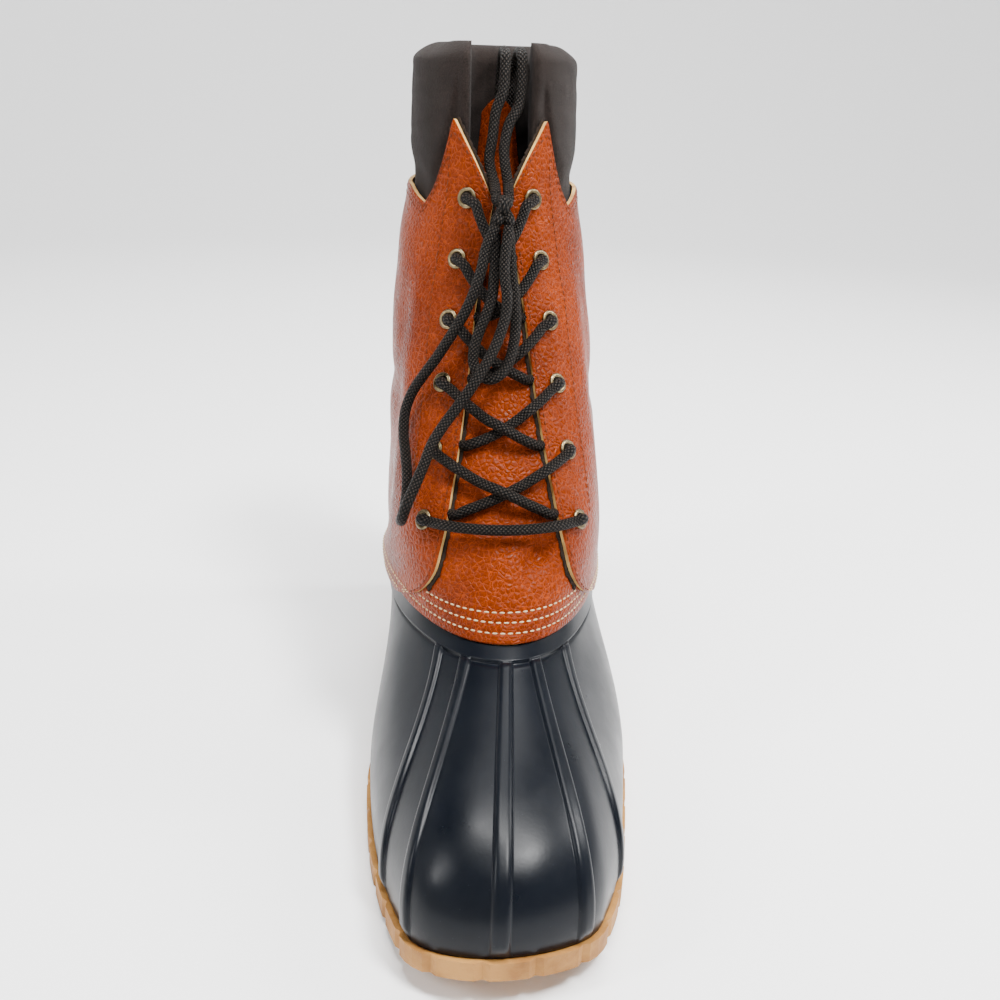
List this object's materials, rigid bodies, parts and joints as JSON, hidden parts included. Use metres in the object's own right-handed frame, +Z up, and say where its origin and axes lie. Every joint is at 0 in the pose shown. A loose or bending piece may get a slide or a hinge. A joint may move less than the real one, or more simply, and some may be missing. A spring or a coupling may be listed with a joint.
{
  "type": "lace-up boot with rubber bottom",
  "caption": "Left lace-up boot: navy-black moulded rubber bottom with raised toe ribs, orange-brown pebbled leather shaft, padded dark collar and black lace",
  "frame": {"origin": "on the floor, below the middle of the boot's box", "axes": "+Y from toe to heel, +X from the inner to the outer side of the foot, +Z up"},
  "size_m": [0.1098, 0.2999, 0.2921],
  "materials": {
    "gum_rubber": "matt tan gum rubber",
    "navy_rubber": "satin navy-black moulded rubber",
    "brown_leather": "glossy pebbled orange-brown leather",
    "collar_cloth": "dark taupe padded fabric",
    "insole_sheet": "plain felt sheet",
    "eyelet_brass": "antique brass",
    "lace_cord": "dull black round braid"
  },
  "bodies": {
    "root": {"outsole": "gum_rubber", "rubber_shell": "navy_rubber", "insole": "insole_sheet", "tongue": "brown_leather", "quarters": "brown_leather", "collar": "collar_cloth", "eyelet_inner_1": "eyelet_brass", "eyelet_inner_2": "eyelet_brass", "eyelet_inner_3": "eyelet_brass", "eyelet_inner_4": "eyelet_brass", "eyelet_inner_5": "eyelet_brass", "eyelet_inner_6": "eyelet_brass", "eyelet_outer_1": "eyelet_brass", "eyelet_outer_2": "eyelet_brass", "eyelet_outer_3": "eyelet_brass", "eyelet_outer_4": "eyelet_brass", "eyelet_outer_5": "eyelet_brass", "eyelet_outer_6": "eyelet_brass", "lace_bar": "lace_cord", "lace_cross_1": "lace_cord", "lace_cross_2": "lace_cord", "lace_cross_3": "lace_cord", "lace_cross_4": "lace_cord", "lace_cross_5": "lace_cord", "lace_knot": "lace_cord", "lace_loop_left": "lace_cord", "lace_loop_right": "lace_cord", "lace_end_left": "lace_cord", "lace_end_right": "lace_cord"}
  },
  "joints": []
}
